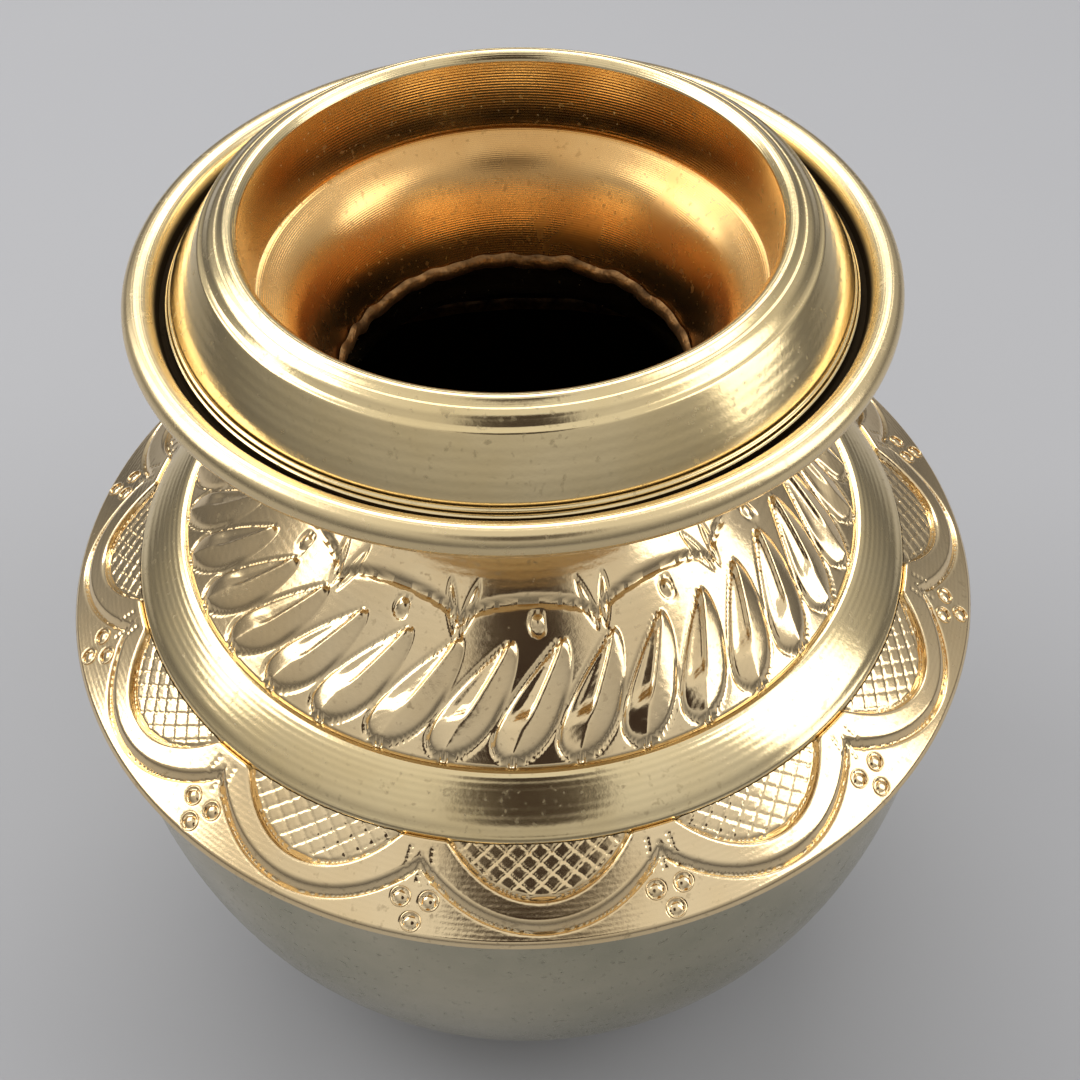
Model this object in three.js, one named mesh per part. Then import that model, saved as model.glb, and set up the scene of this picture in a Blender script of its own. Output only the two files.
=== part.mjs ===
// A kalash: a brass ritual water pot, built as the spun, turned and brazed pieces that a
// brassworker joins. Millimetres, Z up, the pot stands on Z = 0 and its axis is the Z axis.
import * as THREE from 'three';
import { mergeVertices } from 'three/addons/utils/BufferGeometryUtils.js';

// Overall sizes
const EDGE_RADIUS = 72;        // widest edge, where the shoulder meets the bowl
const BOWL_DEPTH = 80;         // resting face up to the widest edge
const SHOULDER_RISE = 34;      // widest edge up to the foot of the short upright neck
const NECK_RADIUS = 26;        // bore of the neck
const NECK_UPRIGHT = 6.5;      // height of the shoulder's own short upright neck
const SAUCER_RISE = 24.5;      // foot of the neck up to the flat floor of the saucer
const MOUTH_RADIUS = 36.5;     // inside of the mouth's lip
const COLLAR_SPREAD = 11.3;    // lip to the collar's outer foot, seen from above
const GROOVE = 0.9;            // flat of the saucer outside the collar
const COLLAR_HEIGHT = 12;      // saucer floor up to the top of the lip

// Walls and clearances
const WALL = 1.1;              // spun sheet
const COLLAR_WALL = 1.6;       // turned collar
const FIT = 0.3;               // left between two pieces that are brazed together
const BRAZE = 1.2;             // thickness of a line of braze

// Bowl
const BOWL_INSET = 3.4;        // the shoulder's edge stands this far outside the bowl
const BOWL_FULLNESS = 2.5;     // exponent of the bowl's curve: 2 is an ellipse
const BASE_RADIUS = 24;        // flat pressed into the bottom so that the pot stands

// Shoulder ornament
const SWAG_WIDTH = 12;         // widest edge in to the plain ring band
const BAND_WIDTH = 7.5;        // across the ring band, seen from above
const bandFoot = EDGE_RADIUS - SWAG_WIDTH;
const bandTop = bandFoot - BAND_WIDTH;
const BAND_PROUD = 1.2;        // the band stands this far above the sheet
const PETALS = 34;             // leaf bosses in the wreath round the neck
const PETAL_STEPS = 3;         // facets across one petal
const PETAL_RELIEF = 1.1;
const PETAL_LEAN = 1;          // petal widths by which its tip leans
const PETAL_TURN = -2.7;       // degrees from the front to the foot of one petal
const SWAGS = 12;              // hanging crescents between the band and the widest edge
const SWAG_RELIEF = 0.9;
const SWAG_TURN = -14;         // degrees from the front to the gap between two swags

// Rolled edge
const ROLL_RADIUS = 2.2;

const STEPS = 40;              // facets round a plain piece
const level = {
  edge: BOWL_DEPTH,
  neckFoot: BOWL_DEPTH + SHOULDER_RISE,
  neckJoint: BOWL_DEPTH + SHOULDER_RISE + NECK_UPRIGHT,
  saucer: BOWL_DEPTH + SHOULDER_RISE + SAUCER_RISE,
};
level.lip = level.saucer + COLLAR_HEIGHT;
const MOUTH_STEP = 1.2;        // the funnel's edge lies this far inside the lip
const ROLL_RISE = 0.5;         // width of the sheet's rise into the roll
const collarOuter = MOUTH_RADIUS + COLLAR_SPREAD;
const saucerOuter = collarOuter + GROOVE;
const saucerInner = MOUTH_RADIUS - MOUTH_STEP;
const rimRadius = saucerOuter + ROLL_RISE + 2 * ROLL_RADIUS;

const point = (r, z) => new THREE.Vector2(r, z);
const smooth = (points, steps) => new THREE.SplineCurve(points).getPoints(steps);
const clamp01 = (value) => Math.min(1, Math.max(0, value));

// Merges a closed surface's shared points and turns its faces outwards.
function closedSolid(geometry) {
  geometry.deleteAttribute('normal');
  geometry.deleteAttribute('uv');
  const merged = mergeVertices(geometry, 1e-3);
  const place = merged.attributes.position;
  const index = Array.from(merged.index.array);
  const faces = [];
  let volume = 0;
  const a = new THREE.Vector3();
  const b = new THREE.Vector3();
  const c = new THREE.Vector3();
  for (let i = 0; i < index.length; i += 3) {
    const [p, q, r] = index.slice(i, i + 3);
    if (p === q || q === r || r === p) continue;
    faces.push([p, q, r]);
    a.fromBufferAttribute(place, p);
    b.fromBufferAttribute(place, q);
    c.fromBufferAttribute(place, r);
    volume += a.dot(b.cross(c)) / 6;
  }
  const turned = volume < 0 ? faces.map(([p, q, r]) => [p, r, q]) : faces;
  merged.setIndex(turned.flat());
  merged.computeVertexNormals();
  return merged;
}

// A lathe-turned piece from its section, a closed loop of (radius, height).
function turned(section, steps = STEPS) {
  const geometry = new THREE.LatheGeometry([...section, section[0].clone()], steps);
  geometry.rotateX(Math.PI / 2);
  return closedSolid(geometry);
}

// Bowl: one sheet spun to a full curve, with a flat base pressed into it.
function bowlCurve(inset, floor) {
  const radius = EDGE_RADIUS - BOWL_INSET - inset;
  const depth = level.edge - FIT - floor + 1.5;
  const curve = [];
  const steps = 10;
  for (let i = 0; i <= steps; i += 1) {
    const turn = (i / steps) * (Math.PI / 2);
    const r = radius * Math.cos(turn) ** (2 / BOWL_FULLNESS);
    const z = level.edge - FIT - depth * Math.sin(turn) ** (2 / BOWL_FULLNESS);
    if (z > floor + 0.4) curve.push(point(r, z));
  }
  return [...curve, point(BASE_RADIUS - inset, floor), point(0, floor)];
}

function bowl() {
  const outside = bowlCurve(0, 0);
  const inside = bowlCurve(WALL, WALL).reverse();
  const geometry = new THREE.LatheGeometry([...outside.reverse(), ...inside.reverse()], STEPS);
  geometry.rotateX(Math.PI / 2);
  return closedSolid(geometry);
}

// Shoulder: the height of the plain spun sheet at a radius.
const neckOutside = NECK_RADIUS + WALL;
function shoulderHeight(r) {
  const share = clamp01((EDGE_RADIUS - r) / (EDGE_RADIUS - neckOutside));
  const belly = 0.16 * SHOULDER_RISE * Math.sin(Math.PI * share);
  return level.edge + WALL + SHOULDER_RISE * share - belly * (1 - share) * 0.6;
}

// Relief of the wreath: one rounded leaf for each petal, whose tip leans round the pot.
function petalRelief(angle, r) {
  const zone = (bandTop - r) / (bandTop - neckOutside);
  if (zone <= 0.04 || zone >= 0.56) return 0;
  const turn = (angle - THREE.MathUtils.degToRad(PETAL_TURN)) / ((2 * Math.PI) / PETALS) + 0.5;
  const across = turn - PETAL_LEAN * clamp01((zone - 0.04) / 0.5) ** 1.25;
  const share = across - Math.floor(across);
  const round = 1 - (2 * share - 1) ** 2;
  const along = Math.sin(Math.PI * clamp01((zone - 0.04) / 0.52)) ** 0.6;
  return PETAL_RELIEF * round * along;
}

// Relief of a swag: a crescent between two arcs that hang from the band.
function swagRelief(angle, r) {
  const drop = (r - bandFoot) / (EDGE_RADIUS - bandFoot);
  const turn = (angle - THREE.MathUtils.degToRad(SWAG_TURN)) / ((2 * Math.PI) / SWAGS);
  const side = 2 * (turn - Math.floor(turn)) - 1;
  const outer = 0.86 - 0.56 * side ** 2;
  const inner = 0.54 * (1 - (side / 0.8) ** 2);
  if (outer <= 0 || drop <= 0 || drop <= inner || drop >= outer) return 0;
  const low = Math.max(0, inner);
  return SWAG_RELIEF * Math.sin(Math.PI * (drop - low) / (outer - low));
}

// The embossed shoulder: a grid over the sheet, lifted by the band, the petals and the swags.
function shoulder() {
  const around = PETALS * PETAL_STEPS;
  const rows = [];
  const span = (from, to, count) => {
    for (let i = 0; i < count; i += 1) rows.push(from + ((to - from) * i) / count);
  };
  rows.push(neckOutside);
  span(neckOutside + 0.6, bandTop - 0.5, 6);
  rows.push(bandTop - 0.5);
  const bandRows = [bandTop, bandTop + 2, bandFoot - 2, bandFoot];
  rows.push(...bandRows);
  span(bandFoot + 0.5, EDGE_RADIUS - 0.6, 4);
  rows.push(EDGE_RADIUS - 0.6);
  const bandMid = (bandTop + bandFoot) / 2;
  const bandHalf = (bandFoot - bandTop) / 2 + 0.1;
  const ring = (r, z) => {
    const points = [];
    for (let i = 0; i < around; i += 1) {
      const angle = (2 * Math.PI * i) / around;
      const lift = z === null ? petalRelief(angle, r) + swagRelief(angle, r) : 0;
      const proud = z === null && Math.abs(r - bandMid) < bandHalf ? BAND_PROUD : 0;
      const height = z === null ? shoulderHeight(r) + lift + proud : z;
      points.push(r * Math.sin(angle), -r * Math.cos(angle), height);
    }
    return points;
  };
  // The closed loop of rings: up the upright neck's outside, over the relief, under the sheet.
  const rings = [ring(neckOutside, level.neckJoint)];
  rows.forEach((r) => rings.push(ring(r, null)));
  rings.push(ring(EDGE_RADIUS, level.edge + 0.5));
  rings.push(ring(EDGE_RADIUS - 0.3, level.edge));
  const underRows = [EDGE_RADIUS - BOWL_INSET - WALL - 1, bandMid, NECK_RADIUS + 10, NECK_RADIUS];
  underRows.forEach((r, i) => {
    rings.push(ring(r, i === 0 ? level.edge : shoulderHeight(r) - WALL));
  });
  rings.push(ring(NECK_RADIUS, level.neckJoint));
  const index = [];
  rings.forEach((_, k) => {
    const next = (k + 1) % rings.length;
    for (let i = 0; i < around; i += 1) {
      const j = (i + 1) % around;
      const [a, b] = [k * around + i, k * around + j];
      const [c, d] = [next * around + i, next * around + j];
      index.push(a, b, d, a, d, c);
    }
  });
  const geometry = new THREE.BufferGeometry();
  geometry.setAttribute('position', new THREE.Float32BufferAttribute(rings.flat(), 3));
  geometry.setIndex(index);
  return closedSolid(geometry);
}

// Funnel and saucer: one spun sheet that flares from the neck and ends in a rolled edge.
function neckFlange() {
  const foot = level.neckJoint + FIT;
  const floor = level.saucer;
  const centre = point(rimRadius - ROLL_RADIUS, floor + 1.1);
  const roll = (radius) => {
    const points = [];
    for (let i = 0; i <= 6; i += 1) {
      const angle = Math.PI - (i / 6) * THREE.MathUtils.degToRad(300);
      points.push(point(centre.x + radius * Math.cos(angle), centre.y + radius * Math.sin(angle)));
    }
    return points;
  };
  const rise = floor - foot;
  const spread = saucerInner - NECK_RADIUS;
  const flare = (lift) => smooth([
    point(NECK_RADIUS + lift, foot),
    point(NECK_RADIUS + 0.172 * spread + lift, foot + 0.42 * rise - lift * 0.2),
    point(NECK_RADIUS + 0.495 * spread + lift * 0.8, foot + 0.8 * rise - lift * 0.6),
    point(saucerInner, floor - lift),
  ], 5);
  const top = [...flare(0), point(saucerOuter, floor)];
  const under = [...flare(WALL), point(saucerOuter + WALL * 0.9, floor - WALL)];
  return turned([...top, ...roll(ROLL_RADIUS), ...roll(ROLL_RADIUS - WALL).reverse(), ...under.reverse()]);
}

// Mouth collar: a turned double wall, steep outside in a cone, a band and a bead.
function mouthCollar() {
  const foot = level.saucer + FIT;
  const top = level.lip;
  const coneFoot = foot + 2.1;
  const outside = [
    point(collarOuter, foot),
    point(collarOuter, foot + 0.6),
    point(collarOuter - 0.4, foot + 0.7),
    point(collarOuter - 0.5, foot + 1.3),
    point(collarOuter - 0.9, foot + 1.4),
    point(collarOuter - 1, coneFoot),
    point(MOUTH_RADIUS + 5.6, top - 2.4),
    point(MOUTH_RADIUS + 4.9, top - 2.2),
    point(MOUTH_RADIUS + 3.4, top - 0.6),
    point(MOUTH_RADIUS + 2.8, top - 0.7),
    point(MOUTH_RADIUS + 1.7, top),
    point(MOUTH_RADIUS + 0.6, top - 0.3),
    point(MOUTH_RADIUS, top - 1.2),
  ];
  const inside = [
    point(saucerInner + 0.2, foot),
    point(saucerInner + 0.2 + COLLAR_WALL, foot),
    point(MOUTH_RADIUS + COLLAR_WALL, top - 2.6),
    point(MOUTH_RADIUS + 3.6, top - 3.1),
    point(collarOuter - 1 - COLLAR_WALL, coneFoot),
    point(collarOuter - COLLAR_WALL, foot),
  ];
  return turned([...outside, ...inside]);
}

// A line of braze, square in section.
const brazeRing = (inner, outer, low, high) => turned([
  point(inner, low), point(outer, low), point(outer, high), point(inner, high),
]);

const BRASS = 0xd9c27c;
const INSIDE_BRASS = 0xc98a3e;
const BRAZE_METAL = 0x9c7a45;
const kalash = new THREE.Group();
function piece(name, geometry, color, roughness) {
  const material = new THREE.MeshStandardMaterial({ color, roughness, metalness: 1 });
  const mesh = new THREE.Mesh(geometry, material);
  mesh.name = name;
  kalash.add(mesh);
}

piece('bowl', bowl(), BRASS, 0.2);
piece('shoulder', shoulder(), BRASS, 0.25);
piece('neck_flange', neckFlange(), INSIDE_BRASS, 0.3);
piece('mouth_collar', mouthCollar(), BRASS, 0.2);

// Braze inside the widest edge, under the shoulder's sheet and against the bowl's wall.
const bowlBore = EDGE_RADIUS - BOWL_INSET - WALL - FIT;
const edgeBraze = brazeRing(bowlBore - BRAZE, bowlBore - 0.3, level.edge - FIT - 2, level.edge - FIT);
piece('edge_braze', edgeBraze, BRAZE_METAL, 0.6);

// Braze inside the neck, over the joint of the shoulder and the funnel.
const neckBore = NECK_RADIUS - FIT;
const neckBraze = brazeRing(neckBore - BRAZE * 0.7, neckBore, level.neckJoint - 1.3, level.neckJoint + 1.5);
piece('neck_braze', neckBraze, BRAZE_METAL, 0.6);

// Braze inside the hollow collar, on the saucer's floor.
const collarBore = collarOuter - COLLAR_WALL - 2.5 * FIT;
const collarBraze = brazeRing(collarBore - BRAZE, collarBore, level.saucer + FIT, level.saucer + FIT + 0.8);
piece('collar_braze', collarBraze, BRAZE_METAL, 0.6);

export default kalash;
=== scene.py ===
import math
from collections import namedtuple

import bpy
import numpy as np
from mathutils import Matrix, Vector


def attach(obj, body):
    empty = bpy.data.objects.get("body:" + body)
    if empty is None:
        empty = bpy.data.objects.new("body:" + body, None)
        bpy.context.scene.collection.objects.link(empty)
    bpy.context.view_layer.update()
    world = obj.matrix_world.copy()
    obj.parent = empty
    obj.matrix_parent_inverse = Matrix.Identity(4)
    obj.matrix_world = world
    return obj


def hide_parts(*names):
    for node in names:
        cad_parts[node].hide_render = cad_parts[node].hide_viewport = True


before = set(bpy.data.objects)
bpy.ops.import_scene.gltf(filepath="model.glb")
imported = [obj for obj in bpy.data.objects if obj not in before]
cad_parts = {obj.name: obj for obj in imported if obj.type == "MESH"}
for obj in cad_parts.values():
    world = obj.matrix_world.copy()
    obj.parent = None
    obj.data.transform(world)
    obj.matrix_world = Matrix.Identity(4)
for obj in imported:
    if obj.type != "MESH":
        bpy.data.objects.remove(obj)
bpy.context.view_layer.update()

MM = 0.001

# Driving sizes in millimetres and degrees, which repeat the solid pot's
EDGE_RADIUS = 72.0         # widest edge, where the shoulder meets the bowl
BOWL_DEPTH = 80.0          # resting face up to the widest edge
SHOULDER_RISE = 34.0       # widest edge up to the foot of the short upright neck
NECK_RADIUS = 26.0         # bore of the neck
NECK_UPRIGHT = 6.5         # height of the shoulder's own short upright neck
SAUCER_RISE = 24.5         # foot of the neck up to the flat floor of the saucer
RIM_RADIUS = 53.6          # outside of the rolled edge
ROLL_RADIUS = 2.2
ROLL_RISE = 0.5            # width of the sheet's rise into the roll
ROLL_CENTRE_RISE = 1.1     # saucer floor up to the middle of the roll
MOUTH_RADIUS = 36.5        # inside of the mouth's lip
MOUTH_STEP = 1.2           # the funnel's edge lies this far inside the lip
GROOVE = 0.9               # flat of the saucer outside the collar
COLLAR_HEIGHT = 12.0       # saucer floor up to the top of the lip
WALL = 1.1                 # spun sheet
COLLAR_WALL = 1.6          # turned collar
FIT = 0.3                  # left between two pieces that are brazed together
BOWL_INSET = 3.4           # the shoulder's edge stands this far outside the bowl
BOWL_FULLNESS = 2.5        # exponent of the bowl's curve: 2 is an ellipse
BASE_RADIUS = 24.0         # flat pressed into the bottom so that the pot stands
BAND_TOP_RADIUS = 52.5     # inside of the plain ring band
BAND_FOOT_RADIUS = 60.0    # outside of the plain ring band
PETALS = 34                # leaf bosses in the wreath round the neck
FIRST_PETAL = -2.7         # degrees from the front to the foot of one petal
PETAL_LEAN = 1.0           # petal widths by which its tip leans
SWAGS = 12                 # hanging crescents between the band and the widest edge
SWAG_TURN = -14.0          # degrees from the front to the gap between two swags

EDGE = BOWL_DEPTH
NECK_JOINT = BOWL_DEPTH + SHOULDER_RISE + NECK_UPRIGHT
SAUCER = BOWL_DEPTH + SHOULDER_RISE + SAUCER_RISE
LIP = SAUCER + COLLAR_HEIGHT
NECK_OUTSIDE = NECK_RADIUS + WALL
SAUCER_OUTER = RIM_RADIUS - 2 * ROLL_RADIUS - ROLL_RISE
SAUCER_INNER = MOUTH_RADIUS - MOUTH_STEP
COLLAR_OUTER = SAUCER_OUTER - GROOVE
WREATH_WIDTH = BAND_TOP_RADIUS - NECK_OUTSIDE
SWAG_WIDTH = EDGE_RADIUS - BAND_FOOT_RADIUS

# How finely the surfaces are divided, and the angles in degrees past which an edge stays sharp
TURN_STEPS = 256
WREATH_RINGS = 66
PETAL_STEPS = 40
SWAG_RINGS = 58
SWAG_STEPS = 128
BRAZE_STEPS = 360
RELIEF_SHARP = 60
SHEET_SHARP = 50
ROLL_SHARP = 40
COLLAR_SHARP = 30

# Chasing tools: how deep and how wide each one marks the sheet, in millimetres. A pip stands up instead.
Tool = namedtuple("Tool", "depth width")
PETAL_TOOL = Tool(0.5, 0.3)
SCALLOP_TOOL = Tool(0.45, 0.35)
CURL_TOOL = Tool(0.35, 0.25)
LEAF_TOOL = Tool(0.35, 0.22)
SWAG_TOOL = Tool(0.5, 0.28)
GROUND_TOOL = Tool(0.4, 0.26)
HATCH_TOOL = Tool(0.28, 0.2)
RING_TOOL = Tool(0.34, 0.22)
STEM_TOOL = Tool(0.25, 0.2)
CURL_PIP = Tool(0.3, 0.55)
MARK_PIP = Tool(0.12, 0.5)

# The shoulder's profile is a cone with a slight hollow, as deep as its rise times both of these
HOLLOW = 0.16
HOLLOW_FADE = 0.6

# Petals, as shares of the wreath's width, of a petal's own length, or of the step from one to the next
PETAL_FOOT = 0.03
PETAL_LENGTH = 0.5
PETAL_WIDEST = 0.36
PETAL_HALF = 0.48
PETAL_FADE = 0.2
FLAT_START = (0.25, 0.5)
FLAT_END = (0.88, 0.98)
FLAT_SIDE = (0.04, -0.04)
OUTLINE_END = (0.42, 0.6)
PETAL_SWEEP = 1.25         # exponent of the lean: over 1 bends the petal towards its tip
PETAL_TAPER = 0.55         # exponent of the narrowing towards the tip
PETAL_CROWN = 0.7          # exponent of the boss: under 1 makes it full
PETAL_LIFT = 1.25          # from here on in millimetres
LEAST_HALF = 0.05
OUTLINE_INSET = 0.12
FLAT_DEPTH = 0.75

# Scallops, curls and leaves above the petals: heights as shares of the wreath's width, else millimetres
SCALLOP_FOOT = 0.585
SCALLOP_ARCH = 0.115
SCALLOP_END = (0.88, 0.98)
SCALLOP_EASE = (-0.2, 0.5)
SCALLOP_LIFT = 0.5
CURL_HEIGHT = 0.61
CURL_SIDE = 1.2
CURL_RADIUS = 1.1
CURL_END = 2.2
LEAF_HEIGHT = 0.66
LEAF_SIDE = 1.3
LEAF_SPREAD = 0.25         # sideways for each millimetre up
LEAF_HALF_LENGTH = 2.6
LEAF_HALF_WIDTH = 0.55

# Swags and the grounds inside them: shares of the swag zone's width or of half a swag, else millimetres
SWAG_HANG = 0.86
SWAG_SWEEP = 0.56
SWAG_END = 0.97
SWAG_TOP = (0.02, 0.08)
SWAG_EASE = 1.1
SWAG_LIFT = 0.8
GROUND_HANG = 0.54
GROUND_HALF = 0.8
GROUND_TOP = 0.03
GROUND_EASE = (0.2, 0.6)
HATCH_STRETCH = 1.35       # draws the hatching out a little more than the slope does, which is by 1.25
HATCH_PITCH = 3.1
HATCH_DOTS = 0.75
HATCH_LEAST = 0.25         # depth between two dots, as a share of a dot's

# Ringed marks and dotted stems under each gap: (sideways, down the slope from the band), millimetres
SLOPE_STRETCH = 1.2        # about the distance down the slope for each millimetre of radius
MARKS = ((-2.0, 9.0), (2.0, 9.0), (0.0, 12.2))
MARK_RADIUS = 1.05
MARK_RIM_RADIUS = 1.35
MARK_RIM_WIRE = 0.13
MARK_RIM_LIFT = 0.02
STEMS = (-1.6, 0.0, 1.6)
STEM_TOP = 2.8
STEM_FOOT = 6.6
STEM_STRAIGHT_AT = 3       # distance down the slope where a stem has the place given above
STEM_SPREAD = 0.0625       # share by which the stems part in each millimetre from there
STEM_STAGGER = 0.4         # outer stems start higher, by this share of their place
STEM_DOTS = 0.8


# Mesh helpers
def mesh_piece(name, points_mm, faces, sharp):
    """A finished piece from points in millimetres, smooth except at real edges."""
    mesh = bpy.data.meshes.new(name)
    mesh.from_pydata((np.asarray(points_mm) * MM).tolist(), [], faces)
    mesh.validate()
    mesh.shade_smooth()
    mesh.set_sharp_from_angle(angle=math.radians(sharp))
    piece = bpy.data.objects.new(name, mesh)
    bpy.context.collection.objects.link(piece)
    return piece


def ring_angles(steps):
    return np.linspace(0, 2 * math.pi, steps, endpoint=False)


def on_ring(radius, angle, height):
    """Points at these angles from the front, which faces along -Y."""
    heights = np.broadcast_to(height, angle.shape)
    return np.stack([radius * np.sin(angle), -radius * np.cos(angle), heights], 1)


def closed_grid(rings):
    """Points and faces of a tube whose last ring closes on its first, with the faces outwards."""
    count, around = rings.shape[:2]
    i = np.arange(around)
    j = (i + 1) % around
    quads = []
    for k in range(count):
        n = (k + 1) % count
        quads.append(np.stack([k * around + i, k * around + j, n * around + j, n * around + i], 1))
    quads = np.concatenate(quads)
    points = rings.reshape(-1, 3)
    a, b, c, d = (points[quads[:, corner]] for corner in range(4))
    volume = np.einsum("ij,ij->i", a, np.cross(b, c)).sum() + np.einsum("ij,ij->i", a, np.cross(c, d)).sum()
    if volume < 0:
        quads = quads[:, ::-1]
    return points, quads.tolist()


def rounded(corners, size):
    """The outline with every corner eased by a short curve that starts size before it."""
    outline = []
    corners = [np.asarray(corner, float) for corner in corners]
    for k, corner in enumerate(corners):
        before = corners[k - 1] - corner
        after = corners[(k + 1) % len(corners)] - corner
        reach_before = min(size, 0.45 * np.linalg.norm(before))
        reach_after = min(size, 0.45 * np.linalg.norm(after))
        start = corner + before / np.linalg.norm(before) * reach_before
        end = corner + after / np.linalg.norm(after) * reach_after
        for t in (0.0, 0.33, 0.67, 1.0):
            outline.append((1 - t) ** 2 * start + 2 * t * (1 - t) * corner + t * t * end)
    return outline


def turned(name, section, sharp):
    """A lathe-turned piece from a closed section of (radius, height)."""
    angle = ring_angles(TURN_STEPS)
    rings = np.array([on_ring(radius, angle, height) for radius, height in section])
    return mesh_piece(name, *closed_grid(rings), sharp)


def smooth_step(low, high, value):
    """0 up to low, 1 from high on, and a smooth slope between; low may be the larger number."""
    t = np.clip((value - low) / (high - low), 0, 1)
    return t * t * (3 - 2 * t)


def stroke(distance, tool):
    """A tool's mark at a distance from its middle: full depth there, about a third one width away."""
    return tool.depth * np.exp(-((distance / tool.width) ** 2))


def dots(distance, pitch):
    """1 on each dot and 0 halfway to the next."""
    return 0.5 + 0.5 * np.cos(2 * math.pi * distance / pitch)


# The spun shoulder
def shoulder_height(r):
    share = np.clip((EDGE_RADIUS - r) / (EDGE_RADIUS - NECK_OUTSIDE), 0, 1)
    belly = HOLLOW * SHOULDER_RISE * np.sin(math.pi * share)
    return EDGE + WALL + SHOULDER_RISE * share - belly * (1 - share) * HOLLOW_FADE


def place_in_swag(angle):
    """Place across a swag: 0 in its middle, and -1 and 1 at the gaps beside it."""
    turn = (angle - math.radians(SWAG_TURN)) / (2 * math.pi / SWAGS)
    return 2 * (turn - np.floor(turn)) - 1


def raise_petals(angle, r, zone):
    """Leaning drop-shaped petals, outlined, with the flat that the chisel leaves along the upper left."""
    along = (zone - PETAL_FOOT) / PETAL_LENGTH
    held = np.clip(along, 0, 1)
    across = (angle - math.radians(FIRST_PETAL)) / (2 * math.pi / PETALS) + 0.5
    across = across - PETAL_LEAN * held ** PETAL_SWEEP
    x = across - np.floor(across) - 0.5
    low_half = PETAL_HALF * np.sqrt(np.clip(1 - (1 - held / PETAL_WIDEST) ** 2, 0, 1))
    towards_tip = np.clip((along - PETAL_WIDEST) / (1 - PETAL_WIDEST), 0, 1)
    high_half = PETAL_HALF * np.cos(towards_tip * math.pi / 2) ** PETAL_TAPER
    half = np.where(along < PETAL_WIDEST, low_half, high_half)
    half = np.where((along > 0) & (along < 1), half, 0)
    pitch = 2 * math.pi * r / PETALS
    inside = (half - np.abs(x)) * pitch
    dome = np.clip(inside, 0, None) / np.maximum(half * pitch, LEAST_HALF)
    lift = PETAL_LIFT * np.clip(dome, 0, 1) ** PETAL_CROWN * np.clip(half / PETAL_FADE, 0, 1)
    flat = smooth_step(*FLAT_START, along) * (1 - smooth_step(*FLAT_END, along)) * smooth_step(*FLAT_SIDE, x)
    lift = lift - FLAT_DEPTH * flat * np.clip(dome * 2, 0, 1)
    outlined = (half > 0) * np.where(x < 0, 1.0, 1 - smooth_step(*OUTLINE_END, along))
    return lift - stroke(inside - OUTLINE_INSET, PETAL_TOOL) * outlined


def add_scallops(lift, zone, side):
    """Scallops whose points hang down between every two or three petals."""
    arch = SCALLOP_FOOT + SCALLOP_ARCH * np.sqrt(np.clip(1 - side ** 2, 0, 1))
    reach = (zone - arch) * WREATH_WIDTH
    lift = lift + SCALLOP_LIFT * smooth_step(*SCALLOP_EASE, reach) * (1 - smooth_step(*SCALLOP_END, zone))
    return lift - stroke(reach, SCALLOP_TOOL)


def add_curls(lift, r, zone, side):
    """A curl with a round end inside each scallop."""
    arc = side * math.pi / SWAGS * r
    away = np.hypot(arc - CURL_SIDE, (zone - CURL_HEIGHT) * WREATH_WIDTH)
    return lift - stroke(away - CURL_RADIUS, CURL_TOOL) * (arc < CURL_END) + stroke(away, CURL_PIP)


def add_leaves(lift, r, zone, side):
    """A pair of small leaves at each point between two scallops."""
    arc = (1 - np.abs(side)) * math.pi / SWAGS * r
    up = (zone - LEAF_HEIGHT) * WREATH_WIDTH
    leaf = np.abs(arc - LEAF_SIDE - LEAF_SPREAD * up)
    fullness = np.clip(1 - (up / LEAF_HALF_LENGTH) ** 2, 0, 1)
    return lift - stroke(leaf - LEAF_HALF_WIDTH * fullness, LEAF_TOOL) * (fullness > 0)


def wreath_relief(angle, r):
    """Petals round the neck, with scallops, curls and leaves above them."""
    zone = (BAND_TOP_RADIUS - r) / WREATH_WIDTH
    side = place_in_swag(angle)
    lift = raise_petals(angle, r, zone)
    lift = add_scallops(lift, zone, side)
    lift = add_curls(lift, r, zone, side)
    return add_leaves(lift, r, zone, side)


def add_hatching(lift, ground, arc, fall):
    """Two sets of slanting dotted lines on the ground inside a swag."""
    down = fall * HATCH_STRETCH
    for lean in (1.0, -1.0):
        slant = (arc + lean * down) / HATCH_PITCH
        cut = stroke((slant - np.round(slant)) * HATCH_PITCH, HATCH_TOOL)
        dotted = HATCH_LEAST + (1 - HATCH_LEAST) * dots(arc - lean * down, HATCH_DOTS)
        lift = lift - ground * cut * dotted
    return lift


def add_marks(lift, arc, fall):
    """Three ringed marks in a triangle under each gap, and three short dotted stems above them."""
    down = fall * SLOPE_STRETCH
    for mark_arc, mark_down in MARKS:
        away = np.hypot(arc - mark_arc, down - mark_down)
        lift = lift - stroke(away - MARK_RADIUS, RING_TOOL) + stroke(away, MARK_PIP)
    for stem in STEMS:
        path = arc - stem * (1 + STEM_SPREAD * (down - STEM_STRAIGHT_AT))
        there = (down > STEM_TOP - abs(stem) * STEM_STAGGER) * (down < STEM_FOOT)
        lift = lift - stroke(path, STEM_TOOL) * there * dots(down, STEM_DOTS)
    return lift


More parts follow.
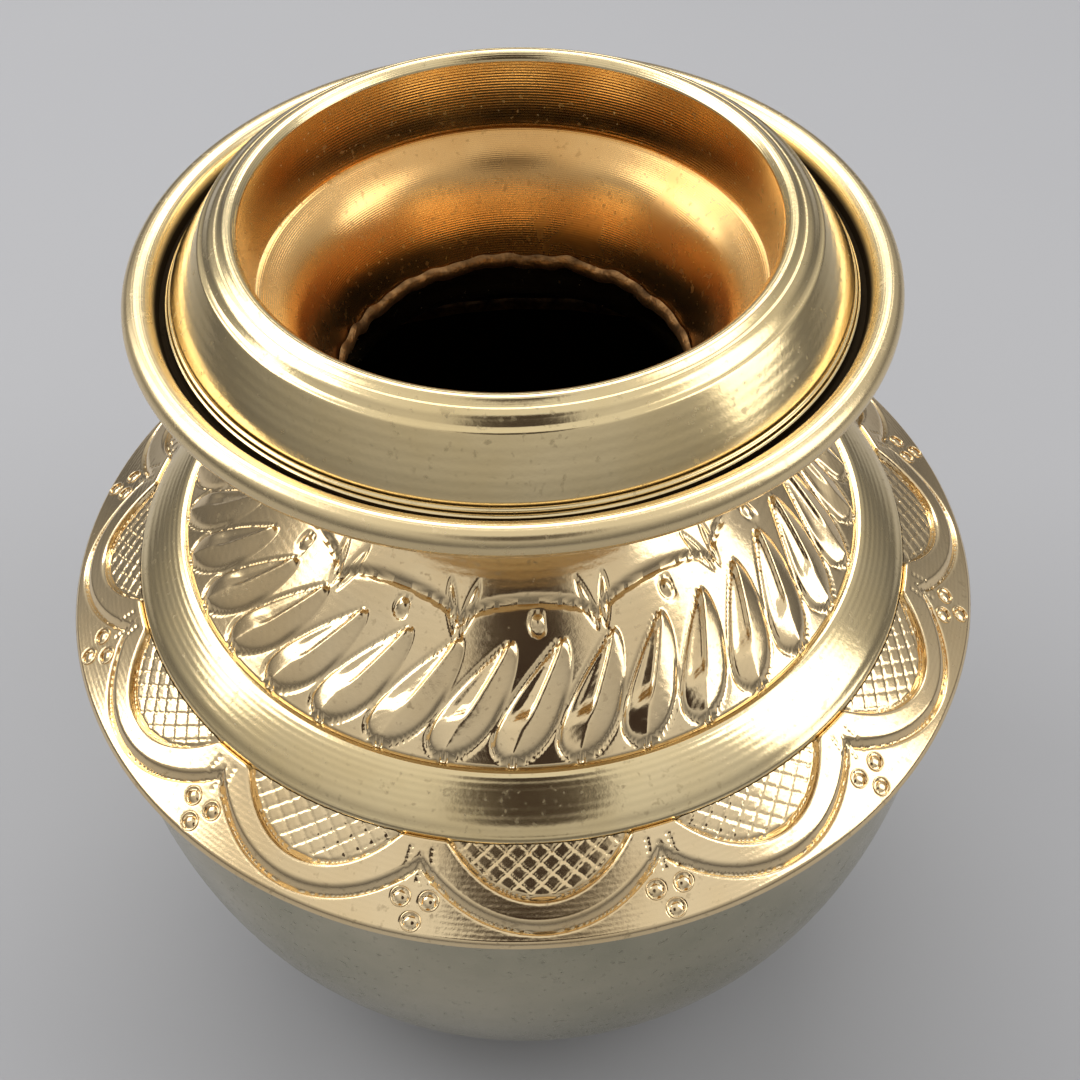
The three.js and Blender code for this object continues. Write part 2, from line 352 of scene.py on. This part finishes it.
def swag_relief(angle, r):
    """Swags hanging from the band, their hatched grounds, and ringed marks between them."""
    fall = r - BAND_FOOT_RADIUS
    drop = fall / SWAG_WIDTH
    side = place_in_swag(angle)
    outer = SWAG_HANG - SWAG_SWEEP * side ** 2
    inner = GROUND_HANG * (1 - (side / GROUND_HALF) ** 2)
    to_outer = (outer - drop) * SWAG_WIDTH
    to_inner = (drop - inner) * SWAG_WIDTH
    between = np.clip(np.minimum(to_outer, to_inner), 0, None)
    lift = SWAG_LIFT * smooth_step(0, SWAG_EASE, between) * smooth_step(*SWAG_TOP, drop)
    lift = lift - stroke(to_outer, SWAG_TOOL) * (np.abs(side) < SWAG_END)
    lift = lift - stroke(to_inner, GROUND_TOOL) * (inner > 0)
    ground = smooth_step(*GROUND_EASE, -to_inner) * (drop > GROUND_TOP)
    lift = add_hatching(lift, ground, side * math.pi / SWAGS * r, fall)
    return add_marks(lift, (1 - np.abs(side)) * math.pi / SWAGS * r * np.sign(-side), fall)


def sheet_rings(radii, around, relief, before, after):
    """Rings over the relief, between the plain rings (radius, height) before and after it."""
    angle = ring_angles(around)
    rings = [on_ring(r, angle, z) for r, z in before]
    for r in radii:
        rings.append(on_ring(r, angle, shoulder_height(r) + relief(angle, np.full_like(angle, r))))
    rings.extend(on_ring(r, angle, z) for r, z in after)
    return np.array(rings)


BAND_SEAM = 0.4            # the sheets beside the band stop this far short of its radii


def make_wreath():
    outside = BAND_TOP_RADIUS - BAND_SEAM
    under_sheet = NECK_RADIUS + 10
    under = [(outside, shoulder_height(BAND_TOP_RADIUS) - WALL),
             (under_sheet, shoulder_height(under_sheet) - WALL),
             (NECK_RADIUS, shoulder_height(NECK_RADIUS) - WALL),
             (NECK_RADIUS, NECK_JOINT)]
    radii = np.linspace(NECK_OUTSIDE, outside, WREATH_RINGS)
    rings = sheet_rings(radii, PETALS * PETAL_STEPS, wreath_relief, [(NECK_OUTSIDE, NECK_JOINT)], under)
    return mesh_piece("shoulder_wreath", *closed_grid(rings), RELIEF_SHARP)


def make_swags():
    inside = BAND_FOOT_RADIUS + BAND_SEAM
    edge = [(EDGE_RADIUS - 0.1, EDGE + 0.7), (EDGE_RADIUS - 0.1, EDGE + 0.25),
            (EDGE_RADIUS - 0.6, EDGE), (EDGE_RADIUS - BOWL_INSET - WALL - 1, EDGE),
            (inside, shoulder_height(BAND_FOOT_RADIUS) - WALL)]
    radii = np.linspace(inside, EDGE_RADIUS - 0.5, SWAG_RINGS)
    rings = sheet_rings(radii, SWAGS * SWAG_STEPS, swag_relief, [], edge)
    return mesh_piece("shoulder_swags", *closed_grid(rings), RELIEF_SHARP)


def make_band():
    """The plain ring band, crowned, which all but fills the gap between the sheets beside it."""
    middle = (BAND_TOP_RADIUS + BAND_FOOT_RADIUS) / 2
    half = (BAND_FOOT_RADIUS - BAND_TOP_RADIUS) / 2
    outline = [(BAND_TOP_RADIUS - 0.35, shoulder_height(BAND_TOP_RADIUS - 0.35) - 0.1)]
    for share in np.linspace(-1, 1, 15):
        r = middle + share * half * 0.96
        crown = 0.55 + 0.65 * (1 - share ** 2) ** 0.5
        outline.append((r, shoulder_height(r) + crown))
    outline += [(BAND_FOOT_RADIUS + 0.1, shoulder_height(BAND_FOOT_RADIUS) + 0.5),
                (BAND_FOOT_RADIUS + 0.35, shoulder_height(BAND_FOOT_RADIUS + 0.35) - 0.2),
                (BAND_FOOT_RADIUS + 0.3, shoulder_height(BAND_FOOT_RADIUS) - WALL),
                (BAND_TOP_RADIUS - 0.3, shoulder_height(BAND_TOP_RADIUS) - WALL)]
    return turned("shoulder_band", outline, SHEET_SHARP)


# The bowl, with its pressed base
CURVE_BELOW_BASE = 1.5     # the full curve would end this far below the flat base
BASE_EASE = 0.3            # the curve stops this far above it
BASE_HOLE_RADIUS = 1.0     # the base is left open inside this radius


def bowl_outline(inset, floor):
    radius = EDGE_RADIUS - BOWL_INSET - inset
    depth = EDGE - FIT - floor + CURVE_BELOW_BASE
    curve = []
    for turn in np.linspace(0, math.pi / 2, 60):
        r = radius * math.cos(turn) ** (2 / BOWL_FULLNESS)
        z = EDGE - FIT - depth * math.sin(turn) ** (2 / BOWL_FULLNESS)
        if z > floor + BASE_EASE:
            curve.append((r, z))
    return curve + [(BASE_RADIUS - inset, floor), (BASE_HOLE_RADIUS, floor)]


def make_bowl():
    return turned("spun_bowl", bowl_outline(0, 0) + bowl_outline(WALL, WALL)[::-1], SHEET_SHARP)


# Funnel and saucer, with the rolled edge
def curve_through(points, steps):
    """A smooth curve through a few points."""
    points = np.asarray(points, float)
    padded = np.vstack([2 * points[0] - points[1], points, 2 * points[-1] - points[-2]])
    result = []
    for k in range(len(points) - 1):
        p0, p1, p2, p3 = padded[k:k + 4]
        for t in np.linspace(0, 1, steps, endpoint=False):
            result.append(0.5 * (2 * p1 + (p2 - p0) * t + (2 * p0 - 5 * p1 + 4 * p2 - p3) * t ** 2
                                 + (3 * p1 - p0 - 3 * p2 + p3) * t ** 3))
    result.append(points[-1])
    return result


def make_funnel():
    foot = NECK_JOINT + FIT
    rise = SAUCER - foot
    centre = (RIM_RADIUS - ROLL_RADIUS, SAUCER + ROLL_CENTRE_RISE)

    def flare(lift):
        return curve_through([
            (NECK_RADIUS + lift, foot),
            (NECK_RADIUS + 1.6 + lift, foot + 0.42 * rise - lift * 0.2),
            (NECK_RADIUS + 4.6 + lift * 0.8, foot + 0.8 * rise - lift * 0.6),
            (SAUCER_INNER, SAUCER - lift)], 8)

    def roll(radius):
        angles = math.pi - np.radians(300) * np.linspace(0, 1, 28)
        return [(centre[0] + radius * math.cos(a), centre[1] + radius * math.sin(a)) for a in angles]

    top = flare(0) + [(SAUCER_OUTER, SAUCER)]
    under = flare(WALL) + [(SAUCER_OUTER + WALL * 0.9, SAUCER - WALL)]
    section = top + roll(ROLL_RADIUS) + roll(ROLL_RADIUS - WALL)[::-1] + under[::-1]
    return turned("funnel_and_saucer", section, ROLL_SHARP)


def make_collar():
    """The hollow collar: two steps at its foot, the cone, the upper band and the lip's bead."""
    foot = SAUCER + FIT
    steps = [(COLLAR_OUTER, foot), (COLLAR_OUTER, foot + 0.6), (COLLAR_OUTER - 0.4, foot + 0.7),
             (COLLAR_OUTER - 0.5, foot + 1.3), (COLLAR_OUTER - 0.9, foot + 1.4)]
    cone = [(COLLAR_OUTER - 1.0, foot + 2.1), (MOUTH_RADIUS + 5.6, LIP - 2.4)]
    upper_band = [(MOUTH_RADIUS + 4.9, LIP - 2.2), (MOUTH_RADIUS + 4.1, LIP - 1.3),
                  (MOUTH_RADIUS + 3.2, LIP - 0.75), (MOUTH_RADIUS + 2.8, LIP - 0.8)]
    bead = [(MOUTH_RADIUS + 1.9, LIP - 0.05), (MOUTH_RADIUS + 0.9, LIP - 0.15),
            (MOUTH_RADIUS + 0.1, LIP - 1.0)]
    inner_wall = [(SAUCER_INNER + 0.2, foot), (SAUCER_INNER + 0.2 + COLLAR_WALL, foot),
                  (MOUTH_RADIUS + COLLAR_WALL, LIP - 2.6), (MOUTH_RADIUS + 3.6, LIP - 3.1)]
    under_cone = [(COLLAR_OUTER - 1 - COLLAR_WALL, foot + 2.1), (COLLAR_OUTER - COLLAR_WALL, foot)]
    section = rounded(steps + cone + upper_band + bead + inner_wall + under_cone, 0.25)
    return turned("turned_collar", section, COLLAR_SHARP)


# The ragged line of braze inside the neck
BRAZE_SEED = 7
BRAZE_WANDER = 0.75
BRAZE_LUMPS = 0.15
PHASES = (0, 6.28)


def chance_waves(random, angle, counts, fade):
    """Sine waves of chance height and phase, at most 1 high in all; fade lowers the short ones."""
    waves = 0
    for k in counts:
        height = random.normal(0, 0.5 / k ** fade)
        waves = waves + height * np.sin(k * angle + random.uniform(*PHASES))
    return waves / np.abs(waves).max()


def make_neck_braze():
    angle = ring_angles(BRAZE_STEPS)
    random = np.random.default_rng(BRAZE_SEED)
    wander = BRAZE_WANDER * chance_waves(random, angle, range(2, 40), 0.5)
    lump = BRAZE_LUMPS * chance_waves(random, angle, range(12, 60), 0)
    outer = NECK_RADIUS - 0.05
    rings = []
    for r, z, share in ((outer, -1.2, 1), (outer - 0.6, -0.9, 1), (outer - 0.8, 0.1, 0.6),
                        (outer - 0.6, 1.0, 1), (outer, 1.3, 1)):
        radius = r + (lump if r < outer else 0)
        rings.append(on_ring(radius, angle, NECK_JOINT + z + wander * share))
    return mesh_piece("ragged_braze", *closed_grid(np.array(rings)), RELIEF_SHARP)


# Nodes of materials, of the world and of geometry, all added by one method
class Nodes:
    def __init__(self, tree):
        self.tree = tree

    def feed(self, socket, value):
        """Joins a value or another socket to a socket, or sets it to something plain."""
        if isinstance(value, Value):
            value = value.socket
        if isinstance(value, bpy.types.NodeSocket):
            self.tree.links.new(value, socket)
        else:
            socket.default_value = value

    def node(self, kind, settings=None, inputs=None):
        """A new node, with its settings made first; stops are a ramp's (place, colour) pairs."""
        node = self.tree.nodes.new(kind)
        for key, value in (settings or {}).items():
            if key == "stops":
                for stop, (place, colour) in zip(node.color_ramp.elements, value):
                    stop.position = place
                    stop.color = colour
            else:
                setattr(node, key, value)
        for key, value in (inputs or {}).items():
            self.feed(node.inputs[key], value)
        return node


class Value:
    """A number socket in a shader, with arithmetic."""

    def __init__(self, shading, socket):
        self.shading = shading
        self.socket = socket

    def __add__(self, other):
        return self.shading.maths("ADD", self, other)

    def __sub__(self, other):
        return self.shading.maths("SUBTRACT", self, other)

    def __rsub__(self, other):
        return self.shading.maths("SUBTRACT", other, self)

    def __mul__(self, other):
        return self.shading.maths("MULTIPLY", self, other)

    __radd__ = __add__
    __rmul__ = __mul__


class Shading(Nodes):
    """The few kinds of node that the materials and the world use."""

    def maths(self, operation, *values):
        node = self.node("ShaderNodeMath", {"operation": operation}, dict(enumerate(values)))
        return Value(self, node.outputs[0])

    def place(self):
        return self.node("ShaderNodeTexCoord").outputs["Object"]

    def noise(self, scale, detail=3.0, rough=0.5):
        node = self.node("ShaderNodeTexNoise", None,
                         {"Vector": self.place(), "Scale": scale, "Detail": detail, "Roughness": rough})
        return Value(self, node.outputs["Fac"])

    def between(self, value, low, high):
        """0 at low, 1 at high and held there outside them; low may be the larger number."""
        node = self.node("ShaderNodeMapRange", None, {"Value": value, "From Min": low, "From Max": high})
        return Value(self, node.outputs["Result"])

    def colours(self, mask, first, second):
        node = self.node("ShaderNodeMix", {"data_type": "RGBA"}, {"Factor": mask, 6: first, 7: second})
        return node.outputs[2]


class Paint(Shading):
    """A new material."""

    def __init__(self, name):
        self.material = bpy.data.materials.new(name)
        self.material.use_nodes = True
        super().__init__(self.material.node_tree)
        self.shader = self.tree.nodes["Principled BSDF"]

    def radius_and_height(self):
        axes = self.node("ShaderNodeSeparateXYZ", None, {"Vector": self.place()})
        x, y, z = (Value(self, axes.outputs[axis]) for axis in "XYZ")
        return self.maths("SQRT", x * x + y * y), z

    def finish(self, colour, rough, metallic=0.0, bump=None):
        """Joins the finished looks to the shader; bump is (height, strength, distance in metres)."""
        self.feed(self.shader.inputs["Base Color"], colour)
        self.feed(self.shader.inputs["Metallic"], metallic)
        self.feed(self.shader.inputs["Roughness"], rough)
        if bump:
            node = self.node("ShaderNodeBump", None, dict(zip(("Height", "Strength", "Distance"), bump)))
            self.feed(self.shader.inputs["Normal"], node.outputs["Normal"])
        return self.material


class GeometryTree(Nodes):
    """A geometry node tree with named inputs for its sizes."""

    def __init__(self, name):
        super().__init__(bpy.data.node_groups.new(name, "GeometryNodeTree"))
        for direction in ("INPUT", "OUTPUT"):
            self.tree.interface.new_socket("Geometry", in_out=direction, socket_type="NodeSocketGeometry")
        self.start = self.node("NodeGroupInput")
        self.sizes = {}

    def size(self, name, value):
        socket = self.tree.interface.new_socket(name, in_out="INPUT", socket_type="NodeSocketFloat")
        self.sizes[socket.identifier] = value

    def applied_to(self, holder, name):
        """A plain piece made by this tree on the holder, which is removed."""
        modifier = holder.modifiers.new("tree", "NODES")
        modifier.node_group = self.tree
        for identifier, value in self.sizes.items():
            modifier[identifier] = value
        graph = bpy.context.evaluated_depsgraph_get()
        mesh = bpy.data.meshes.new_from_object(holder.evaluated_get(graph))
        bpy.data.objects.remove(holder)
        piece = bpy.data.objects.new(name, mesh)
        bpy.context.collection.objects.link(piece)
        return piece


# Small raised rims round the ringed marks, placed by a node tree
def mark_points():
    """An object with a point on the sheet at every ringed mark, and the way that the sheet faces there."""
    points, leans = [], []
    for swag in range(SWAGS):
        gap = math.radians(SWAG_TURN + 360 / SWAGS * swag)
        for arc, down in MARKS:
            r = BAND_FOOT_RADIUS + down / SLOPE_STRETCH
            angle = gap + arc / r
            steep = shoulder_height(r - 0.5) - shoulder_height(r + 0.5)
            z = shoulder_height(r) + MARK_RIM_LIFT
            points.append((r * math.sin(angle) * MM, -r * math.cos(angle) * MM, z * MM))
            leans.append(Vector((steep * math.sin(angle), -steep * math.cos(angle), 1)).normalized())
    mesh = bpy.data.meshes.new("mark_points")
    mesh.from_pydata(points, [], [])
    lean = mesh.attributes.new("lean", "FLOAT_VECTOR", "POINT")
    lean.data.foreach_set("vector", [value for normal in leans for value in normal])
    holder = bpy.data.objects.new("mark_rims_holder", mesh)
    bpy.context.collection.objects.link(holder)
    return holder


def make_mark_rims(material):
    """A low bead round each of the three marks under every gap between swags."""
    tree = GeometryTree("rims round the ringed marks")
    tree.size("Rim radius", MARK_RIM_RADIUS * MM)
    tree.size("Wire radius", MARK_RIM_WIRE * MM)
    given = tree.start.outputs
    circle = "GeometryNodeCurvePrimitiveCircle"
    path = tree.node(circle, None, {"Resolution": 20, "Radius": given["Rim radius"]})
    wire = tree.node(circle, None, {"Resolution": 6, "Radius": given["Wire radius"]})
    rim = tree.node("GeometryNodeCurveToMesh", None,
                    {"Curve": path.outputs["Curve"], "Profile Curve": wire.outputs["Curve"]})
    lean = tree.node("GeometryNodeInputNamedAttribute", {"data_type": "FLOAT_VECTOR"}, {"Name": "lean"})
    turn = tree.node("FunctionNodeAlignRotationToVector", {"axis": "Z"},
                     {"Vector": lean.outputs["Attribute"]})
    placed = tree.node("GeometryNodeInstanceOnPoints", None,
                       {"Points": given["Geometry"], "Instance": rim.outputs["Mesh"],
                        "Rotation": turn.outputs["Rotation"]})
    real = tree.node("GeometryNodeRealizeInstances", None, {"Geometry": placed.outputs["Instances"]})
    painted = tree.node("GeometryNodeSetMaterial", None,
                        {"Geometry": real.outputs["Geometry"], "Material": material})
    tree.node("NodeGroupOutput", None, {"Geometry": painted.outputs["Geometry"]})
    return tree.applied_to(mark_points(), "mark_rims")


# Brass: noise as (scale, detail, roughness) in Object coordinates, lines as radians for each metre
TARNISH = (38, 4, 0.6)
PITS = (900, 2, 0.5)
GRAIN = (1400, 2, 0.6)
DENTS = (120, 2)
FINE_LINES = 21000
WIDE_LINES = 5300
PIT_COLOUR = 0.45          # as a share of the deep colour
# Near black: painted shade in the groove round the collar's foot
GROOVE_SHADE = (0.03, 0.02, 0.01, 1)


def rim_and_groove_shade(paint, metal, rough, rim, radius, height):
    """The rim's paler colour outside the mouth, and painted shade in the groove round the collar's foot."""
    outside = paint.between(radius, SAUCER_INNER * MM, (SAUCER_INNER + 1.5) * MM)
    metal = paint.colours(outside, metal, rim)
    groove = paint.between(radius, (COLLAR_OUTER - 2) * MM, (COLLAR_OUTER - 0.6) * MM)
    low = paint.between(height, (SAUCER + 2.2) * MM, (SAUCER + 0.8) * MM)
    above = paint.between(height, (SAUCER - 0.4) * MM, (SAUCER - 0.1) * MM)
    inner = paint.between(radius, (SAUCER_OUTER + 1.6) * MM, (SAUCER_OUTER + 0.9) * MM)
    # Mask of the painted shade in the groove, which also makes the finish rougher there
    groove_shade = groove * low * above * inner
    return paint.colours(groove_shade, metal, GROOVE_SHADE), rough + 0.5 * groove_shade


def brass(name, pale, deep, turning, rough, rim=None):
    """Polished brass with tarnish, fine pits, grain, shallow dents and lathe lines."""
    paint = Paint(name)
    tarnish = paint.between(paint.noise(*TARNISH), 0.35, 0.7)
    pits = paint.between(paint.noise(*PITS), 0.62, 0.72)
    pit_colour = tuple(PIT_COLOUR * part for part in deep[:3]) + (1,)
    metal = paint.colours(pits * 0.35, paint.colours(tarnish, pale, deep), pit_colour)
    rough = rough + 0.1 * tarnish + 0.12 * pits
    radius, height = paint.radius_and_height()
    if rim is not None:
        metal, rough = rim_and_groove_shade(paint, metal, rough, rim, radius, height)
    fine = paint.maths("SINE", (radius * 0.8 + height * 0.6) * FINE_LINES)
    wide = paint.maths("SINE", (radius * 0.8 - height * 0.5) * WIDE_LINES)
    surface = turning * (fine * 0.35 + wide * 0.15) + paint.noise(*GRAIN) * 0.5 + paint.noise(*DENTS) * 1.2
    return paint.finish(metal, rough, 1.0, (surface, 0.12, 0.0002))


def braze_metal():
    """Rough, dark and uneven braze."""
    paint = Paint("braze")
    cloud = paint.between(paint.noise(300, 4, 0.7), 0.3, 0.7)
    metal = paint.colours(cloud, (0.36, 0.20, 0.08, 1), (0.07, 0.04, 0.02, 1))
    return paint.finish(metal, 0.4 + 0.3 * cloud, 1.0, (cloud, 0.6, 0.0004))


pale_brass = brass("polished brass", (0.89, 0.70, 0.42, 1), (0.82, 0.61, 0.33, 1), 0.2, 0.11)
turned_brass = brass("turned brass", (0.88, 0.71, 0.41, 1), (0.80, 0.62, 0.32, 1), 0.8, 0.13)
# The bowl's brass is painted greyer and darker than the rest: a painted reflection of the grey floor
bowl_brass_painted_reflection = brass("bowl brass", (0.56, 0.51, 0.37, 1), (0.40, 0.38, 0.27, 1), 0.5, 0.16)
golden_brass = brass("golden inside brass", (0.80, 0.50, 0.20, 1), (0.66, 0.36, 0.12, 1), 0.8, 0.2,
                     (0.84, 0.66, 0.37, 1))
# Near-black brass on the faces inside the closed pot: painted shade, darker than the light that reaches in
painted_shade_inside = brass("dark inside", (0.035, 0.026, 0.018, 1), (0.016, 0.012, 0.009, 1), 0.3, 0.6)
braze = braze_metal()


# The pieces, each with its finish
def finish_piece(piece, material, node):
    piece.data.materials.clear()
    piece.data.materials.append(material)
    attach(piece, "root")
    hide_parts(node)


def second_finish(piece, material, belongs):
    """Gives another finish to the faces that belongs picks out."""
    piece.data.materials.append(material)
    for face in piece.data.polygons:
        if belongs(face):
            face.material_index = 1


def outward(face):
    """Over 0 where a face looks away from the pot's axis, and under 0 where it looks at it."""
    return face.normal.x * face.center.x + face.normal.y * face.center.y


def inside_bowl(face):
    on_base = face.normal.z > 0.5 and face.center.z < 10 * MM
    return outward(face) < 0 or on_base


def under_shoulder(face):
    return face.normal.z < 0 and math.hypot(*face.center[:2]) < (EDGE_RADIUS - 4) * MM


def outside_funnel(face):
    return outward(face) > 0 and face.center.z < SAUCER * MM or face.normal.z < -0.3


wreath = make_wreath()
swags = make_swags()
band = make_band()
finish_piece(wreath, pale_brass, "shoulder")
finish_piece(band, turned_brass, "shoulder")
finish_piece(swags, pale_brass, "shoulder")
finish_piece(make_mark_rims(pale_brass), pale_brass, "shoulder")
bowl = make_bowl()
finish_piece(bowl, bowl_brass_painted_reflection, "bowl")
# The inside of the bowl and the underside of the shoulder take the near-black painted shade
second_finish(bowl, painted_shade_inside, inside_bowl)
second_finish(wreath, painted_shade_inside, under_shoulder)
second_finish(swags, painted_shade_inside, under_shoulder)
funnel = make_funnel()
finish_piece(funnel, golden_brass, "neck_flange")
second_finish(funnel, pale_brass, outside_funnel)
finish_piece(make_collar(), turned_brass, "mouth_collar")
finish_piece(make_neck_braze(), braze, "neck_braze")
for hidden in ("edge_braze", "collar_braze"):
    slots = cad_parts[hidden].data.materials
    slots.clear()
    slots.append(braze)

# Floor and soft studio light, in metres
FLOOR_HALF = 3.0
POT_MIDDLE = (0, 0, 0.09)
SCREEN_SIDE = (0.0, -0.62, 0.785)
SCREEN_EDGE = (0.955, 0.975)


def make_floor():
    mesh = bpy.data.meshes.new("floor")
    corners = [(-FLOOR_HALF, -FLOOR_HALF, 0), (FLOOR_HALF, -FLOOR_HALF, 0),
               (FLOOR_HALF, FLOOR_HALF, 0), (-FLOOR_HALF, FLOOR_HALF, 0)]
    mesh.from_pydata(corners, [], [(0, 1, 2, 3)])
    floor = bpy.data.objects.new("floor", mesh)
    bpy.context.collection.objects.link(floor)
    paint = Paint("pale floor")
    grey = paint.colours(paint.noise(6), (0.40, 0.40, 0.415, 1), (0.425, 0.425, 0.435, 1))
    mesh.materials.append(paint.finish(grey, 0.7))


def soft_light(name, place, size, power):
    """An area lamp that looks at the middle of the pot."""
    lamp = bpy.data.lights.new(name, "AREA")
    lamp.shape = "RECTANGLE"
    lamp.size, lamp.size_y = size
    lamp.energy = power
    holder = bpy.data.objects.new(name, lamp)
    holder.location = place
    holder.rotation_euler = (Vector(POT_MIDDLE) - Vector(place)).to_track_quat("-Z", "Y").to_euler()
    bpy.context.collection.objects.link(holder)


def soft_room():
    """A pale room, darker low down, with a dark screen on the near side; the camera sees plain grey."""
    world = bpy.data.worlds.new("soft room")
    world.use_nodes = True
    room = Shading(world.node_tree)
    where = room.node("ShaderNodeTexCoord").outputs["Generated"]
    height = room.node("ShaderNodeSeparateXYZ", None, {"Vector": where}).outputs["Z"]
    walls = room.node("ShaderNodeValToRGB", {"stops": [(0, (0.16, 0.16, 0.17, 1)), (0.85, (1, 1, 1, 1))]},
                      {"Fac": height})
    facing = room.node("ShaderNodeVectorMath", {"operation": "DOT_PRODUCT"}, {0: where, 1: SCREEN_SIDE})
    screen = room.between(facing.outputs["Value"], *SCREEN_EDGE)
    colour = room.colours(screen, walls.outputs["Color"], (0.05, 0.035, 0.03, 1))
    seen = room.node("ShaderNodeLightPath").outputs["Is Camera Ray"]
    background = room.tree.nodes["Background"]
    room.feed(background.inputs["Color"], room.colours(seen, colour, (0.72, 0.72, 0.74, 1)))
    room.feed(background.inputs["Strength"], 0.8)
    return world


make_floor()
soft_light("window left", (-0.55, 0.15, 0.6), (0.5, 0.5), 2.2)
soft_light("window right", (0.6, -0.1, 0.5), (0.35, 0.6), 1.6)
soft_light("overhead", (0.0, 0.55, 0.8), (0.8, 0.3), 2.6)
bpy.context.scene.world = soft_room()
bpy.context.scene.view_settings.view_transform = "Standard"

# Camera, fitted to the ellipses of the mouth, the rolled edge and the widest edge for an assumed focal length
CAMERA_BACK = 192.5
CAMERA_ABOVE_EDGE = 211.3
PITCH = math.radians(47.11)
YAW = math.radians(0.87)
ROLL = math.radians(-1.35)
FOCAL_PIXELS = 1750
IMAGE_PIXELS = 1080
SENSOR_WIDTH = 36

forward = Vector((math.sin(YAW) * math.cos(PITCH), math.cos(YAW) * math.cos(PITCH), -math.sin(PITCH)))
level_right = Vector((math.cos(YAW), -math.sin(YAW), 0))
level_up = level_right.cross(forward)
right = level_right * math.cos(ROLL) + level_up * math.sin(ROLL)
up = level_up * math.cos(ROLL) - level_right * math.sin(ROLL)
camera_data = bpy.data.cameras.new("camera")
camera_data.sensor_width = SENSOR_WIDTH
camera_data.lens = FOCAL_PIXELS / IMAGE_PIXELS * SENSOR_WIDTH
camera = bpy.data.objects.new("camera", camera_data)
turn = Matrix((right, up, -forward)).transposed().to_4x4()
camera.matrix_world = Matrix.Translation((0, -CAMERA_BACK * MM, (EDGE + CAMERA_ABOVE_EDGE) * MM)) @ turn
bpy.context.collection.objects.link(camera)
bpy.context.scene.camera = camera
